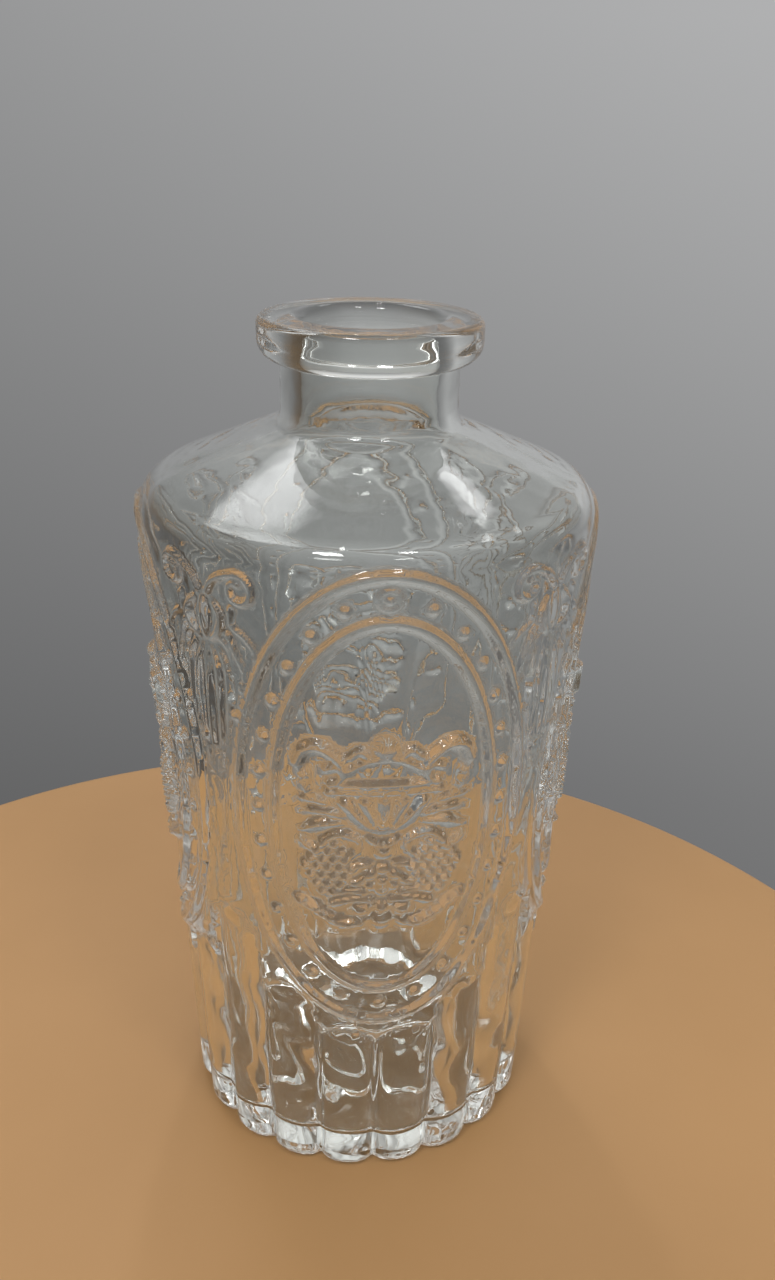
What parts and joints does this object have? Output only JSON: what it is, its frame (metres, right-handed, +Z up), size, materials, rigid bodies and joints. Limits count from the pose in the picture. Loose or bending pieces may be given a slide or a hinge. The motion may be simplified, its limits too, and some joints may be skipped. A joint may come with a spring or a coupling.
{
  "type": "glass carafe",
  "caption": "Clear moulded-glass carafe bottle with a ring lip, short neck and sloping shoulder; oval urn medallions and scroll sprays stand on a tapered body above a reeded foot.",
  "frame": {"origin": "on the bottle's axis, at the plane of the foot's bearing ring", "axes": "+Z up along the bottle's axis of symmetry, with one medallion facing -Y and one facing +X"},
  "size_m": [0.0846, 0.0846, 0.162],
  "materials": {
    "clear_glass": "clear fire-polished moulded glass with a faint grey-green tint"
  },
  "bodies": {
    "root": {"base": "clear_glass", "body_wall": "clear_glass", "shoulder": "clear_glass", "neck": "clear_glass", "lip_ring": "clear_glass", "medallion_frame_front": "clear_glass", "medallion_frame_right": "clear_glass", "medallion_frame_back": "clear_glass", "medallion_frame_left": "clear_glass", "urn_front": "clear_glass", "urn_right": "clear_glass", "urn_back": "clear_glass", "urn_left": "clear_glass", "scroll_spray_front_right": "clear_glass", "scroll_spray_back_right": "clear_glass", "scroll_spray_back_left": "clear_glass", "scroll_spray_front_left": "clear_glass"}
  },
  "joints": []
}
